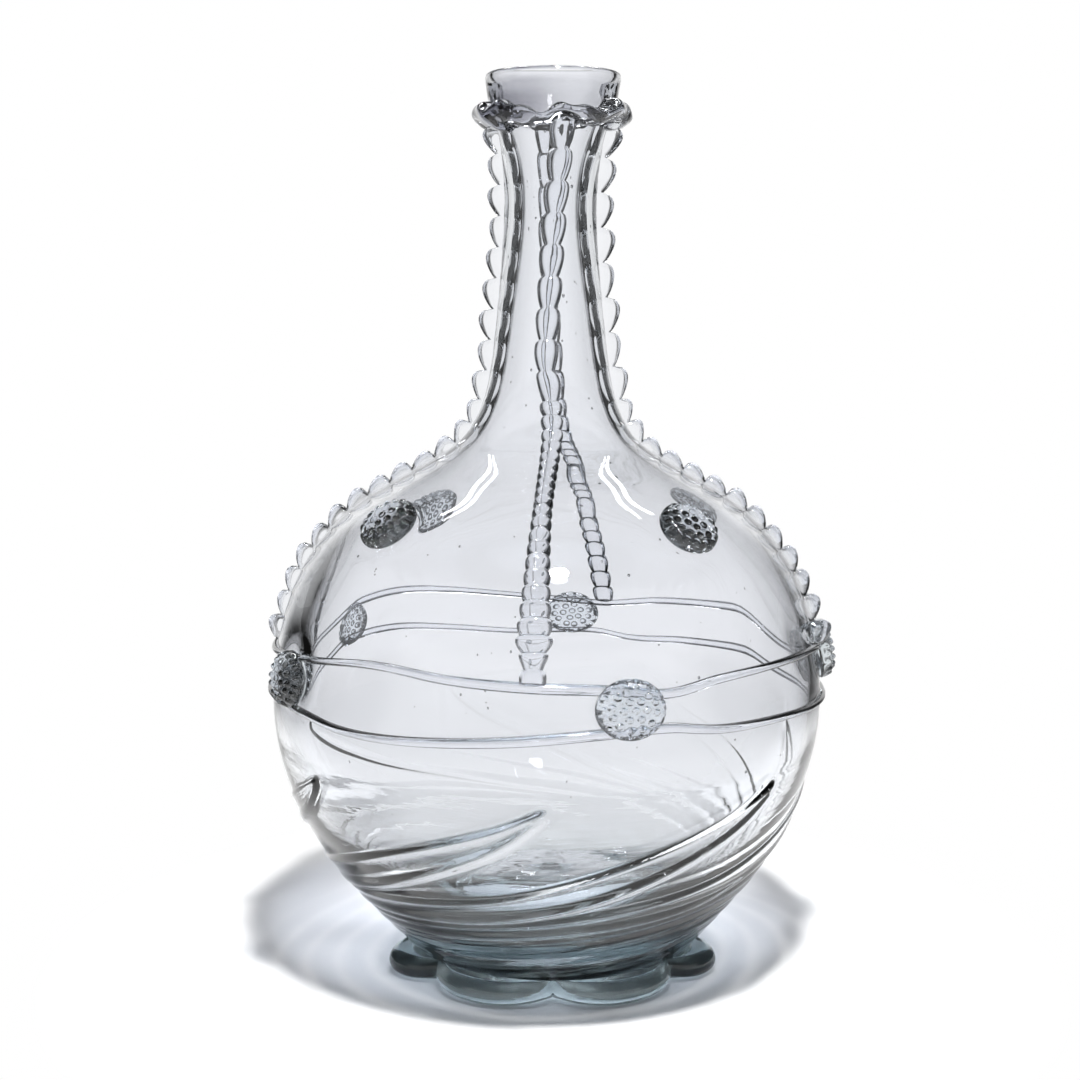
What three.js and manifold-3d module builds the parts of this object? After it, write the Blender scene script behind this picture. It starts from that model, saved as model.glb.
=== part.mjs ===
// Hand-blown glass carafe: a round body on a pinched foot, a long neck under a flared lip,
// four pinched trails down the neck and shoulder, two wavering threads and nine raspberry prunts.
// Millimetres, +Z up, standing on z = 0 with its axis on the Z axis. The front is -Y.
import * as THREE from 'three';
import { mergeVertices } from 'three/addons/utils/BufferGeometryUtils.js';
import Module from 'manifold-3d';

// The seam between two pieces of glass that are fused in the real carafe
const seam = 0.3;

// Foot ring, squeezed by hand into lobes
const footRingHeight = 6.2;
const footBoreInset = 0.5;
const footRimHeight = 6.6;
const footDishDepth = 1.5;
const footRimRoll = 3.2;
const footPinchInset = 0.9;
const footPinchLift = 2.2;
const footPinches = [0, 51, 85, 131, 180, 230, 276, 310];
const footLobeProud = 6.9;
const footSideProud = 2.4;
const footRearProud = 2.6;

// Body outline: radii of the outside and the rise from each one to the next
const waistRadius = 39.5;
const heelRadius = 51.0;
const heelRise = 13.5;
const haunchRadius = 66.2;
const haunchRise = 21;
const bellyRadius = 74.8;
const bellyRise = 31;
const shoulderRadius = 68.2;
const shoulderRise = 34;
const crownRadius = 54;
const crownRise = 18;
const domeRadius = 38;
const domeRise = 10;
const collarboneRadius = 24;
const collarboneRise = 9;
const neckRootRadius = 17.8;
const neckRootRise = 11;
const neckMidRadius = 14.2;
const neckMidRise = 24;
const neckWaistRadius = 12.3;
const neckWaistRise = 27;
const throatRadius = 13.6;
const throatRise = 19;
const lipRadius = 17.9;
const lipRise = 14.1;
const lipRound = 1.9;

// Sideways lean of the hand-blown body at the foot, haunch, belly, shoulder, neck and lip
const footLean = 0.9;
const bowlLean = -0.6;
const shoulderLean = -0.5;
const neckLean = 0.4;
const lipLean = 1.1;

// Walls and the pushed-in base
const lipWall = 3.4;
const neckWall = 4.4;
const shoulderWall = 3.2;
const bellyWall = 2.2;
const heelWall = 5.0;
const baseWall = 6.5;
const kickRise = 11;
const kickRadius = 31.5;

// Second gather over the lower body, ribbed in a mould and twisted
const gatherRise = 54.5;
const gatherEdge = 0.8;
const gatherHeel = 2.2;
const gatherScallop = 16;
const gatherFade = 9;
const ribCount = 7;
const ribProud = 1.1;
const ribTwist = 0.11;
const ribFadeRise = 18;

// Wavy collar trailed round the neck under the lip
const collarDrop = 10.4;
const collarTall = 6.4;
const collarProud = 5.2;
const collarWaves = 7;
const collarWaveRise = 0.9;
const collarWaveReach = 0.5;

// Threads round the belly: azimuth in degrees from the front and height above the floor
const threadWide = 2.1;
const threadProud = 1.5;
const upperThreadRoute = [
  [-90, 88.3], [-56, 90.9], [-35, 93.0], [-19, 91.4], [-3, 90.3], [11, 89.5], [23, 88.0], [34, 89.9],
  [50, 90.6], [70, 90.2], [84, 88.0], [97, 86.0], [108, 88.0], [120, 90.6], [136, 91.5], [151, 90.7],
  [165, 89.0], [185, 91.3], [206, 94.0], [223, 95.0], [236, 93.0],
];
const lowerThreadRoute = [
  [-90, 77.6], [-56, 77.8], [-43, 76.2], [-30, 76.1], [-8, 77.7], [9, 79.4], [22, 80.0], [33, 78.2],
  [50, 77.5], [70, 76.4], [90, 76.0], [110, 77.2], [128, 78.4], [143, 77.2], [158, 76.7], [168, 79.0],
  [186, 78.6], [205, 80.7], [221, 82.6], [235, 82.0], [252, 79.0],
];

// Pinched trails: azimuth against the share of the way down, the same with widths, and the pinches
const trailNeckProud = 4.3;
const trailGlobeProud = 3.6;
const trailFrontProud = 2.6;
const trailValley = 0.9;
const trailRoutes = {
  trail_front: {
    route: [[0, 17.3], [0.07, 16.5], [0.1, 13], [0.14, 8], [0.19, 4.4], [0.25, 0.8], [0.31, -2],
      [0.39, -3.9], [0.44, -0.2], [0.51, 1.9], [0.57, 0.3], [0.67, -1.4], [0.8, -2.2], [1, -2.8]],
    widths: [[0, 5.8], [0.3, 5.4], [0.5, 4.9], [0.68, 4.1], [0.8, 5.0], [0.88, 6.4], [0.93, 7.8], [0.975, 5.2], [1, 6.4]],
    neckPinches: 9, globePinches: 22, globeProud: trailFrontProud,
  },
  trail_right: {
    route: [[0, 93], [0.2, 90], [0.4, 91], [0.6, 89], [0.8, 84], [1, 78]],
    widths: [[0, 5.8], [0.5, 5.4], [0.8, 5.4], [0.92, 7.6], [0.96, 7.6], [1, 4.8]],
    neckPinches: 8, globePinches: 12, globeProud: trailGlobeProud,
  },
  trail_back: {
    route: [[0, 190], [0.15, 188], [0.3, 178], [0.45, 172], [0.6, 168], [0.8, 167], [1, 165]],
    widths: [[0, 5.8], [0.5, 5.4], [1, 6]],
    neckPinches: 9, globePinches: 12, globeProud: trailGlobeProud,
  },
  trail_left: {
    route: [[0, 268], [0.2, 270], [0.5, 271], [0.8, 270], [1, 270]],
    widths: [[0, 5.8], [0.5, 5.4], [1, 6]],
    neckPinches: 9, globePinches: 12, globeProud: trailGlobeProud,
  },
};

// Raspberry prunts: a stamped dome of knobs
const pruntProud = 4.8;
const pruntEdge = 1.4;
const pruntKnob = 0.9;
const upperPruntWide = 16;
const upperPruntTall = 15.6;
const lowerPruntWide = 17.3;
const lowerPruntTall = 14.6;
const upperPrunts = {
  prunt_upper_front_left: [-46.5, 123.8], prunt_upper_front_right: [39, 123.4],
  prunt_upper_back_right: [123, 125.2], prunt_upper_back_left: [219, 122.4],
};
const lowerPrunts = {
  prunt_lower_front: [15, 85.0], prunt_lower_right: [88, 85.6], prunt_lower_back: [173.5, 84.9],
  prunt_lower_back_left: [236, 86.4], prunt_lower_left: [299, 84.8],
};

// Steps of the faceted surfaces
const bodySides = 40;
const hollowSlack = 0.08;
const roundSlack = 0.36;
const insideSlack = 0.5;
const footSteps = 80;
const collarSteps = 42;
const threadSteps = 60;
const ribSteps = 10;
const gatherRows = 8;
const pruntSides = 20;

const radians = (degrees) => degrees * Math.PI / 180;
const clamp01 = (value) => Math.min(1, Math.max(0, value));
const smooth = (value) => { const t = clamp01(value); return t * t * (3 - 2 * t); };

// Value at x on the straight lines between [x, value] pairs
function along(pairs, x) {
  for (let i = 1; i < pairs.length; i += 1) {
    if (x <= pairs[i][0] || i === pairs.length - 1) {
      const [x0, y0] = pairs[i - 1];
      const [x1, y1] = pairs[i];
      return y0 + (y1 - y0) * clamp01((x - x0) / (x1 - x0));
    }
  }
  return pairs[0][1];
}

// Stations of the outside outline, from the waist over the foot up to the lip
const waistLevel = footRingHeight + seam;
const stations = [];
let level = waistLevel;
for (const [rise, radius] of [
  [0, waistRadius], [heelRise, heelRadius], [haunchRise, haunchRadius], [bellyRise, bellyRadius],
  [shoulderRise, shoulderRadius], [crownRise, crownRadius], [domeRise, domeRadius],
  [collarboneRise, collarboneRadius], [neckRootRise, neckRootRadius], [neckMidRise, neckMidRadius],
  [neckWaistRise, neckWaistRadius], [throatRise, throatRadius], [lipRise, lipRadius],
]) {
  level += rise;
  stations.push(new THREE.Vector3(radius, 0, level));
}
const lipRimLevel = level;
const topLevel = lipRimLevel + lipRound;
const bellyLevel = stations[3].z;
const shoulderLevel = stations[4].z;
const neckRootLevel = stations[8].z;
const neckWaistLevel = stations[10].z;

// The outline as a fine list of points with heights, radii and lengths along it
const outline = new THREE.CatmullRomCurve3(stations, false, 'centripetal').getPoints(600);
const lengths = [0];
for (let i = 1; i < outline.length; i += 1) lengths.push(lengths[i - 1] + outline[i].distanceTo(outline[i - 1]));

function findStep(values, value) {
  let low = 0;
  let high = values.length - 1;
  while (high - low > 1) {
    const mid = (low + high) >> 1;
    if (values[mid] <= value) low = mid; else high = mid;
  }
  return low;
}
const heights = outline.map((point) => point.z);

// Length along the outline at a height, and the outline's point and outward normal at a length
function lengthAt(height) {
  const i = findStep(heights, height);
  const share = (height - heights[i]) / (heights[i + 1] - heights[i]);
  return lengths[i] + share * (lengths[i + 1] - lengths[i]);
}
function outlineAt(length) {
  const i = findStep(lengths, length);
  const share = (length - lengths[i]) / (lengths[i + 1] - lengths[i]);
  const before = outline[Math.max(0, i - 2)];
  const after = outline[Math.min(outline.length - 1, i + 3)];
  const run = Math.hypot(after.x - before.x, after.z - before.z);
  return {
    r: outline[i].x + share * (outline[i + 1].x - outline[i].x),
    z: outline[i].z + share * (outline[i + 1].z - outline[i].z),
    nr: (after.z - before.z) / run,
    nz: -(after.x - before.x) / run,
  };
}
const radiusAt = (height) => outlineAt(lengthAt(height)).r;

// Lengths along the outline whose straight facets stay within a slack of it, the widest row among them
function facetLengths(from, to, roundBy, hollowBy) {
  const widest = lengthAt(bellyLevel);
  const steps = [from];
  let turned = 0;
  for (let i = 1; i < lengths.length - 1; i += 1) {
    if (lengths[i] <= from || lengths[i] >= to) continue;
    const before = outlineAt(lengths[i - 1]);
    const after = outlineAt(lengths[i]);
    turned += Math.atan2(after.nz, after.nr) - Math.atan2(before.nz, before.nr);
    const slack = turned > 0 ? roundBy : hollowBy;
    const atBelly = lengths[i - 1] < widest && lengths[i] >= widest;
    if (!atBelly && Math.abs(turned) * (lengths[i] - steps[steps.length - 1]) / 8 < slack) continue;
    steps.push(lengths[i]);
    turned = 0;
  }
  if (to - steps[steps.length - 1] < 2) steps.pop();
  steps.push(to);
  return steps;
}

// The body's sideways lean at a height, and a point round it at an azimuth, radius and height
const leanCurve = new THREE.CatmullRomCurve3([
  [0, footLean], [waistLevel, footLean], [stations[2].z, bowlLean], [bellyLevel, bowlLean],
  [stations[5].z, shoulderLean], [neckRootLevel, neckLean * 0.5], [neckWaistLevel, neckLean], [topLevel, lipLean],
].map(([height, lean]) => new THREE.Vector3(height, lean, 0)), false, 'centripetal').getPoints(240);
const leanPairs = leanCurve.map((point) => [point.x, point.y]);
function round(azimuth, radius, height) {
  return new THREE.Vector3(radius * Math.sin(azimuth) + along(leanPairs, height), -radius * Math.cos(azimuth), height);
}

// A point that stands proud of the glass at an azimuth and a length along the outline
function onGlass(azimuth, length, proud) {
  const at = outlineAt(length);
  return round(azimuth, at.r + proud * at.nr, at.z + proud * at.nz);
}

// How far the blown body lies inside the outline where the second gather covers it
const gatherTop = waistLevel + gatherRise;
function gatherDepth(height) {
  const below = clamp01((gatherTop - height) / gatherRise);
  const cover = gatherEdge + seam + (gatherHeel - gatherEdge) * below;
  return cover * smooth((gatherTop + gatherFade - height) / gatherFade);
}

// Wall of the blown body at a height
function wallAt(height) {
  return along([
    [waistLevel, heelWall], [waistLevel + heelRise, heelWall * 0.7 + bellyWall * 0.3],
    [bellyLevel, bellyWall], [shoulderLevel, bellyWall], [neckRootLevel, shoulderWall],
    [neckWaistLevel, neckWall], [lipRimLevel, lipWall],
  ], height);
}

// Blown body: outside from the pushed-in base up to the lip, then the inside down again
function bodyShell() {
  const rimLength = lengthAt(lipRimLevel);
  const outside = facetLengths(0, rimLength, roundSlack, hollowSlack).map((length) => {
    const at = outlineAt(length);
    const depth = gatherDepth(at.z);
    return [at.r - depth * at.nr, at.z - depth * at.nz];
  });
  outside.unshift([waistRadius - gatherDepth(waistLevel), waistLevel]);
  const floorLevel = waistLevel + baseWall;
  const insideFrom = lengthAt(waistLevel + baseWall);
  const inside = facetLengths(insideFrom, rimLength, insideSlack, insideSlack).slice(0, -1).map((length) => {
    const at = outlineAt(length);
    const depth = wallAt(at.z) + gatherDepth(at.z);
    return [at.r - depth * at.nr, at.z - depth * at.nz];
  }).filter(([radius, height]) => height > floorLevel + 2.5 && radius > 0).reverse();
  const rim = [30, 65, 100, 140, 180].map((turn) => [
    lipRadius - lipWall / 2 * (1 - Math.cos(radians(turn))), lipRimLevel + lipRound * Math.sin(radians(turn)),
  ]);
  const points = [
    [0, waistLevel + kickRise], [kickRadius * 0.36, waistLevel + kickRise * 0.88],
    [kickRadius * 0.7, waistLevel + kickRise * 0.52], [kickRadius * 0.9, waistLevel + kickRise * 0.2],
    [kickRadius, waistLevel],
    ...outside, ...rim, ...inside,
    [kickRadius, floorLevel + 0.9], [kickRadius * 0.76, floorLevel + kickRise * 0.36],
    [kickRadius * 0.4, floorLevel + kickRise * 0.84], [0, floorLevel + kickRise],
  ].map(([x, y]) => new THREE.Vector2(x, y));
  const lathe = new THREE.LatheGeometry(points, bodySides);
  lathe.rotateX(Math.PI / 2);
  const places = lathe.attributes.position;
  for (let i = 0; i < places.count; i += 1) places.setX(i, places.getX(i) + along(leanPairs, places.getZ(i)));
  return lathe;
}

// Turns a list of triangles round if they face inwards
function closedBody(positions, faces) {
  let volume = 0;
  const a = new THREE.Vector3();
  const b = new THREE.Vector3();
  const c = new THREE.Vector3();
  for (let i = 0; i < faces.length; i += 3) {
    a.fromArray(positions, faces[i] * 3);
    b.fromArray(positions, faces[i + 1] * 3);
    c.fromArray(positions, faces[i + 2] * 3);
    volume += a.dot(b.cross(c));
  }
  if (volume < 0) {
    for (let i = 0; i < faces.length; i += 3) [faces[i + 1], faces[i + 2]] = [faces[i + 2], faces[i + 1]];
  }
  const geometry = new THREE.BufferGeometry();
  geometry.setAttribute('position', new THREE.Float32BufferAttribute(positions, 3));
  geometry.setIndex(faces);
  return geometry;
}

// Solid through a row of sections with equal numbers of points, closed into a ring or capped
function throughSections(sections, ring) {
  const count = sections[0].length;
  const positions = [];
  const faces = [];
  for (const section of sections) for (const point of section) positions.push(point.x, point.y, point.z);
  const last = ring ? sections.length : sections.length - 1;
  for (let i = 0; i < last; i += 1) {
    const next = (i + 1) % sections.length;
    for (let j = 0; j < count; j += 1) {
      const side = (j + 1) % count;
      const [p, q, r, s] = [i * count + j, i * count + side, next * count + side, next * count + j];
      faces.push(p, q, r, p, r, s);
    }
  }
  if (!ring) {
    for (const [section, first, flip] of [[sections[0], 0, true], [sections[last], last * count, false]]) {
      const middle = section.reduce((sum, point) => sum.add(point), new THREE.Vector3()).divideScalar(count);
      positions.push(middle.x, middle.y, middle.z);
      const centre = positions.length / 3 - 1;
      for (let j = 0; j < count; j += 1) {
        const side = (j + 1) % count;
        if (flip) faces.push(centre, first + side, first + j); else faces.push(centre, first + j, first + side);
      }
    }
  }
  return closedBody(positions, faces);
}

// Second gather: a ribbed cup with a scalloped top edge that ends in leaning points
function ribPhase(azimuth, height) {
  const below = Math.max(0, gatherTop - height);
  const turns = (azimuth + radians(ribTwist * below * below)) * ribCount / (2 * Math.PI);
  return turns - Math.floor(turns);
}
function gatherEdgeAt(azimuth) {
  const turns = -azimuth * ribCount / (2 * Math.PI);
  const share = turns - Math.floor(turns);
  const fall = Math.sqrt(Math.min(share, 0.82) / 0.82);
  return gatherTop - gatherScallop * fall * (1 - smooth((share - 0.82) / 0.18));
}
function ribAt(azimuth, height) {
  const phase = ribPhase(azimuth, height);
  const near = Math.min(phase, 1 - phase) * 2 * Math.PI / ribCount * radiusAt(height);
  const fade = smooth((height - waistLevel - ribFadeRise) / (ribFadeRise * 0.8));
  const second = Math.abs(phase - 0.84) * 2 * Math.PI / ribCount * radiusAt(height);
  return ribProud * fade * (Math.max(0, 1 - near / 5) + 0.5 * Math.max(0, 1 - second / 5));
}
function baseGather() {
  const sections = [];
  const columns = ribCount * ribSteps;
  const sharedTop = gatherTop - gatherScallop - 2;
  const sharedRows = facetLengths(0, lengthAt(sharedTop), hollowSlack, hollowSlack).reverse();
  for (let i = 0; i < columns; i += 1) {
    const azimuth = i * 2 * Math.PI / columns;
    const top = gatherEdgeAt(azimuth);
    const section = [];
    for (let k = 0; k <= gatherRows; k += 1) {
      const height = waistLevel + (top - waistLevel) * k / gatherRows;
      section.push(onGlass(azimuth, lengthAt(height), k === 0 ? 0 : ribAt(azimuth, height)));
    }
    for (const share of [1, 0.6, 0.3]) {
      const height = sharedTop + (top - sharedTop) * share;
      section.push(onGlass(azimuth, lengthAt(height), seam - gatherDepth(height)));
    }
    for (const length of sharedRows) {
      section.push(onGlass(azimuth, length, seam - gatherDepth(outlineAt(length).z)));
    }
    const reach = waistRadius - gatherDepth(waistLevel) + seam;
    section.push(round(azimuth, reach, waistLevel));
    sections.push(section);
  }
  return throughSections(sections, true);
}

// Foot ring: lobes between the pinches, with a rolled rim and a dished top
const footBore = kickRadius - footBoreInset;
const footPinchReach = waistRadius - footPinchInset;
function footLobe(azimuth) {
  const turned = ((azimuth * 180 / Math.PI) % 360 + 360) % 360;
  for (let i = 0; i < footPinches.length; i += 1) {
    const from = footPinches[i];
    const to = i + 1 < footPinches.length ? footPinches[i + 1] : footPinches[0] + 360;
    if (turned >= from && turned <= to) {
      const share = (turned - from) / (to - from);
      return Math.pow(Math.sin(Math.PI * share), 0.45);
    }
  }
  return 0;
}
function footRing() {
  const sections = [];
  for (let i = 0; i < footSteps; i += 1) {
    const azimuth = i * 2 * Math.PI / footSteps;
    const lobe = footLobe(azimuth);
    const forward = smooth((Math.cos(azimuth) + 0.1) / 0.5);
    const frontProud = footLobeProud + footSideProud * Math.pow(Math.sin(azimuth), 2);
    const reach = footPinchReach + (footRearProud + (frontProud - footRearProud) * forward) * lobe;
    const lift = footPinchLift * (1 - lobe);
    const roll = Math.min(footRimRoll, (reach - footPinchReach) / 2 + 0.9);
    const bottomReach = reach - roll * 0.8;
    const clear = smooth((reach - roll - waistRadius) / 1.5);
    const top = footRingHeight - 0.3 + (footRimHeight - footRingHeight + 0.3) * clear;
    const points = [
      [footBore, 0], [bottomReach - 2.4, 0], [bottomReach, lift], [reach - roll * 0.2, lift + roll * 0.3],
      [reach, lift + (top - lift) * 0.48], [reach - roll * 0.25, lift + (top - lift) * 0.86],
      [reach - roll, top], [footPinchReach + 0.5 * lobe, footRingHeight - footDishDepth * lobe * 0.8],
      [footPinchReach - 1.4, footRingHeight], [footBore, footRingHeight],
    ];
    points[6][0] = Math.max(points[6][0], footPinchReach + 0.6);
    points[5][0] = Math.max(points[5][0], points[6][0] + 0.15);
    points[4][0] = Math.max(points[4][0], points[5][0] + 0.1);
    sections.push(points.map(([radius, height]) => round(azimuth, radius, height)));
  }
  return throughSections(sections, true);
}

// Collar: a thick wavy trail round the neck
const collarLevel = topLevel - collarDrop;
const collarWave = (azimuth) => collarWaveRise * Math.sin(collarWaves * azimuth);
function neckCollar() {
  const sections = [];
  for (let i = 0; i < collarSteps; i += 1) {
    const azimuth = i * 2 * Math.PI / collarSteps;
    const middle = collarLevel + collarWave(azimuth);
    const proud = collarProud + collarWaveReach * Math.cos(collarWaves * azimuth + 0.6);
    const half = collarTall / 2;
    const section = [];
    for (const [up, out] of [[-0.72, 0], [-0.98, 0.34], [-0.8, 0.74], [-0.3, 1], [0.35, 0.98], [0.82, 0.72],
      [0.98, 0.34], [0.72, 0], [0, 0]]) {
      const height = middle + up * half;
      const radius = radiusAt(height) + seam + out * proud;
      section.push(round(azimuth, radius, height));
    }
    sections.push(section);
  }
  return throughSections(sections, true);
}

// Azimuth of a point about the leaning body's middle
const azimuthOf = (point) => Math.atan2(point.x - along(leanPairs, point.z), -point.y);

// A thread's middle line, closed round the belly and laid on the glass
function threadLine(route) {
  const points = route.map(([degrees, height]) => onGlass(radians(degrees), lengthAt(height), 0));
  return new THREE.CatmullRomCurve3(points, true, 'centripetal');
}
function beltThread(route, wide, proud, under) {
  const line = threadLine(route).getSpacedPoints(threadSteps);
  const sections = [];
  for (let i = 0; i < threadSteps; i += 1) {
    const azimuth = azimuthOf(line[i]);
    const middle = lengthAt(line[i].z);
    const section = [];
    for (const [across, out] of [[-0.5, 0], [-0.38, 0.72], [0, 1], [0.38, 0.72], [0.5, 0]]) {
      section.push(onGlass(azimuth, middle + across * wide, under + out * proud));
    }
    sections.push(section);
  }
  return throughSections(sections, true);
}

// Greatest length that a thread reaches near an azimuth, so that a trail can end on it
function threadEdgeAt(route, azimuth, halfWide) {
  const line = threadLine(route).getSpacedPoints(720);
  let edge = 0;
  for (const point of line) {
    const turn = azimuthOf(point) - azimuth;
    const away = Math.abs(Math.atan2(Math.sin(turn), Math.cos(turn))) * Math.hypot(point.x, point.y);
    if (away <= halfWide + 2) edge = Math.max(edge, lengthAt(point.z));
  }
  return edge + threadWide / 2;
}

// Pinched trail from under the collar down to the upper thread
function pinchedTrail({ route, widths, neckPinches, globePinches, globeProud }) {
  const startAzimuth = radians(route[0][1]);
  const endAzimuth = radians(route[route.length - 1][1]);
  const endWide = widths[widths.length - 1][1];
  const bottom = threadEdgeAt(upperThreadRoute, endAzimuth, endWide / 2) + seam;
  const lowest = collarLevel - collarTall / 2 - collarWaveRise;
  const underCollar = Math.min(collarLevel + collarWave(startAzimuth) - collarTall / 2, lowest + collarWaveRise * 0.9);
  const top = lengthAt(Math.min(underCollar, lowest + 0.6)) - seam;
  const neckEnd = lengthAt(neckRootLevel);
  const neckSteps = neckPinches * 3;
  const globeSteps = globePinches * 3;
  const rows = [];
  for (let i = 0; i < neckSteps; i += 1) rows.push([top + (neckEnd - top) * i / neckSteps, i / 3, 0]);
  for (let i = 0; i <= globeSteps; i += 1) {
    const share = i / globeSteps;
    rows.push([neckEnd + (bottom - neckEnd) * share, share * globePinches, smooth(share * 5)]);
  }
  const curve = new THREE.CatmullRomCurve3(route.map(([share, degrees]) => new THREE.Vector3(share, degrees, 0)), false, 'centripetal');
  const bends = curve.getPoints(200).map((point) => [point.x, point.y]);
  return throughSections(rows.map(([length, pinch, onGlobe]) => {
    const share = (top - length) / (top - bottom);
    const azimuth = radians(along(bends, share));
    const swell = Math.pow(Math.abs(Math.sin(Math.PI * pinch)), 0.6);
    const crest = trailNeckProud + (globeProud - trailNeckProud) * onGlobe;
    const proud = trailValley + (crest - trailValley) * swell;
    const wide = along(widths, share) * (0.88 + 0.12 * swell);
    const radius = outlineAt(length).r;
    return [[-0.5, 0], [-0.44, 0.72], [0, 1], [0.44, 0.72], [0.5, 0], [0, 0]].map(([across, out]) => (
      onGlass(azimuth + across * wide / (radius + out * proud * 0.5), length, seam + out * proud)));
  }), false);
}

// Raspberry prunt: rings of knobs on a dome, its underside on the glass
function raspberryPrunt([degrees, height], wide, tall) {
  const middle = lengthAt(height);
  const centre = radians(degrees);
  const knob = (share, turn) => {
    const ring = share < 0.5 ? pruntSides / 4 : pruntSides / 2;
    return 0.5 + 0.5 * Math.cos(ring * turn);
  };
  const positions = [];
  const faces = [];
  const put = (share, turn, proud) => {
    const length = middle + share * tall / 2 * Math.sin(turn);
    const radius = outlineAt(middle).r;
    const point = onGlass(centre + share * wide / 2 * Math.cos(turn) / radius, length, proud);
    positions.push(point.x, point.y, point.z);
  };
  const dome = (share) => pruntEdge + (pruntProud - pruntEdge) * Math.sqrt(Math.max(0, 1 - Math.pow(share, 3.2)));
  put(0, 0, seam + dome(0) + pruntKnob);
  const shares = [0.22, 0.46, 0.76, 1];
  for (let ring = 0; ring < shares.length; ring += 1) {
    for (let i = 0; i < pruntSides; i += 1) {
      const turn = i * 2 * Math.PI / pruntSides;
      const bump = ring === 1 || ring === 2 ? pruntKnob * knob(shares[ring], turn) : 0;
      put(shares[ring], turn, seam + dome(shares[ring]) + bump);
    }
  }
  for (const share of [0.97, 0.5]) {
    for (let i = 0; i < pruntSides; i += 1) put(share, i * 2 * Math.PI / pruntSides, seam);
  }
  put(0, 0, seam);
  const rings = shares.length + 2;
  for (let i = 0; i < pruntSides; i += 1) {
    const side = (i + 1) % pruntSides;
    faces.push(0, 1 + i, 1 + side);
    for (let ring = 0; ring < rings - 1; ring += 1) {
      const [p, q] = [1 + ring * pruntSides + i, 1 + ring * pruntSides + side];
      const [r, s] = [q + pruntSides, p + pruntSides];
      faces.push(p, s, r, p, r, q);
    }
    const base = 1 + (rings - 1) * pruntSides;
    faces.push(base + i, positions.length / 3 - 1, base + side);
  }
  return closedBody(positions, faces);
}

// Cuts a prunt where a thread runs under it
const library = await Module();
library.setup();
function asSolid(geometry) {
  const bare = geometry.clone();
  bare.deleteAttribute('normal');
  bare.deleteAttribute('uv');
  const merged = mergeVertices(bare, 1e-4);
  return new library.Manifold(new library.Mesh({
    numProp: 3,
    vertProperties: new Float32Array(merged.attributes.position.array),
    triVerts: new Uint32Array(merged.index.array),
  }));
}
function asGeometry(solid) {
  const mesh = solid.getMesh();
  const geometry = new THREE.BufferGeometry();
  geometry.setAttribute('position', new THREE.Float32BufferAttribute(Array.from(mesh.vertProperties), 3));
  geometry.setIndex(Array.from(mesh.triVerts));
  return geometry;
}
const grooves = [upperThreadRoute, lowerThreadRoute].map((route) => (
  asSolid(beltThread(route, threadWide + 2 * seam, threadProud + 2 * seam, 0))));
function seatedPrunt(place) {
  let solid = asSolid(raspberryPrunt(place, lowerPruntWide, lowerPruntTall));
  for (const groove of grooves) solid = solid.subtract(groove);
  const parts = solid.decompose().sort((a, b) => b.volume() - a.volume());
  return asGeometry(parts[0]);
}

// Grey-tinted clear glass, a little deeper where it is thick
const clearGlass = new THREE.MeshStandardMaterial({ color: 0xdfe4e6, roughness: 0.04, metalness: 0 });
const trailGlass = new THREE.MeshStandardMaterial({ color: 0xd2d8db, roughness: 0.05, metalness: 0 });
const pruntGlass = new THREE.MeshStandardMaterial({ color: 0xa9b4b9, roughness: 0.06, metalness: 0 });
const footGlass = new THREE.MeshStandardMaterial({ color: 0x8b9a9d, roughness: 0.05, metalness: 0 });

const carafe = new THREE.Group();
function addPiece(name, geometry, material) {
  const mesh = new THREE.Mesh(geometry, material);
  mesh.name = name;
  carafe.add(mesh);
}
addPiece('body_shell', bodyShell(), clearGlass);
addPiece('base_gather', baseGather(), clearGlass);
addPiece('foot_ring', footRing(), footGlass);
addPiece('neck_collar', neckCollar(), trailGlass);
addPiece('thread_upper', beltThread(upperThreadRoute, threadWide, threadProud, seam), trailGlass);
addPiece('thread_lower', beltThread(lowerThreadRoute, threadWide, threadProud, seam), trailGlass);
for (const [name, trail] of Object.entries(trailRoutes)) addPiece(name, pinchedTrail(trail), trailGlass);
for (const [name, place] of Object.entries(upperPrunts)) {
  addPiece(name, raspberryPrunt(place, upperPruntWide, upperPruntTall), pruntGlass);
}
for (const [name, place] of Object.entries(lowerPrunts)) addPiece(name, seatedPrunt(place), pruntGlass);

export default carafe;
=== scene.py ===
# Looks of the hand-blown glass carafe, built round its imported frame.
# Sizes are in millimetres until a piece is made, and azimuths are degrees from the front, to the right.
import bisect
import math
import random

import bmesh
import bpy
from mathutils import Matrix, Vector, kdtree, noise


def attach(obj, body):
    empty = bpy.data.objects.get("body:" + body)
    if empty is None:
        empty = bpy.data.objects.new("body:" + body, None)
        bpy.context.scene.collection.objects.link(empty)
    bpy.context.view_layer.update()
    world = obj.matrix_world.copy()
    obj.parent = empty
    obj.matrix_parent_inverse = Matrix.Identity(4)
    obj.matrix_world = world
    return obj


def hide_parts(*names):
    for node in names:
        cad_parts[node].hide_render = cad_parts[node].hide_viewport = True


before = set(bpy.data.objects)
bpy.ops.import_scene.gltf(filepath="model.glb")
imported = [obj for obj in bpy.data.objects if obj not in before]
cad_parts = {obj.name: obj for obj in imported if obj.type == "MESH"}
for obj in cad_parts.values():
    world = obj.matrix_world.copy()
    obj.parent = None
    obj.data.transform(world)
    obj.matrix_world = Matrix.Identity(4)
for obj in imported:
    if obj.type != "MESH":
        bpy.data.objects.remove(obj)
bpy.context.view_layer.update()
millimetre = 0.001
seatDepth = 0.35  # how far a fused piece runs into the glass under it
weldGap = 0.002  # corners this close become one
sliver = 1e-5  # edges this short are dissolved
sharpAngle = 60  # degrees, past which an edge isn't shaded smooth
flush = 1e-6  # a section's sine at or under this lies on the glass
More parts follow.
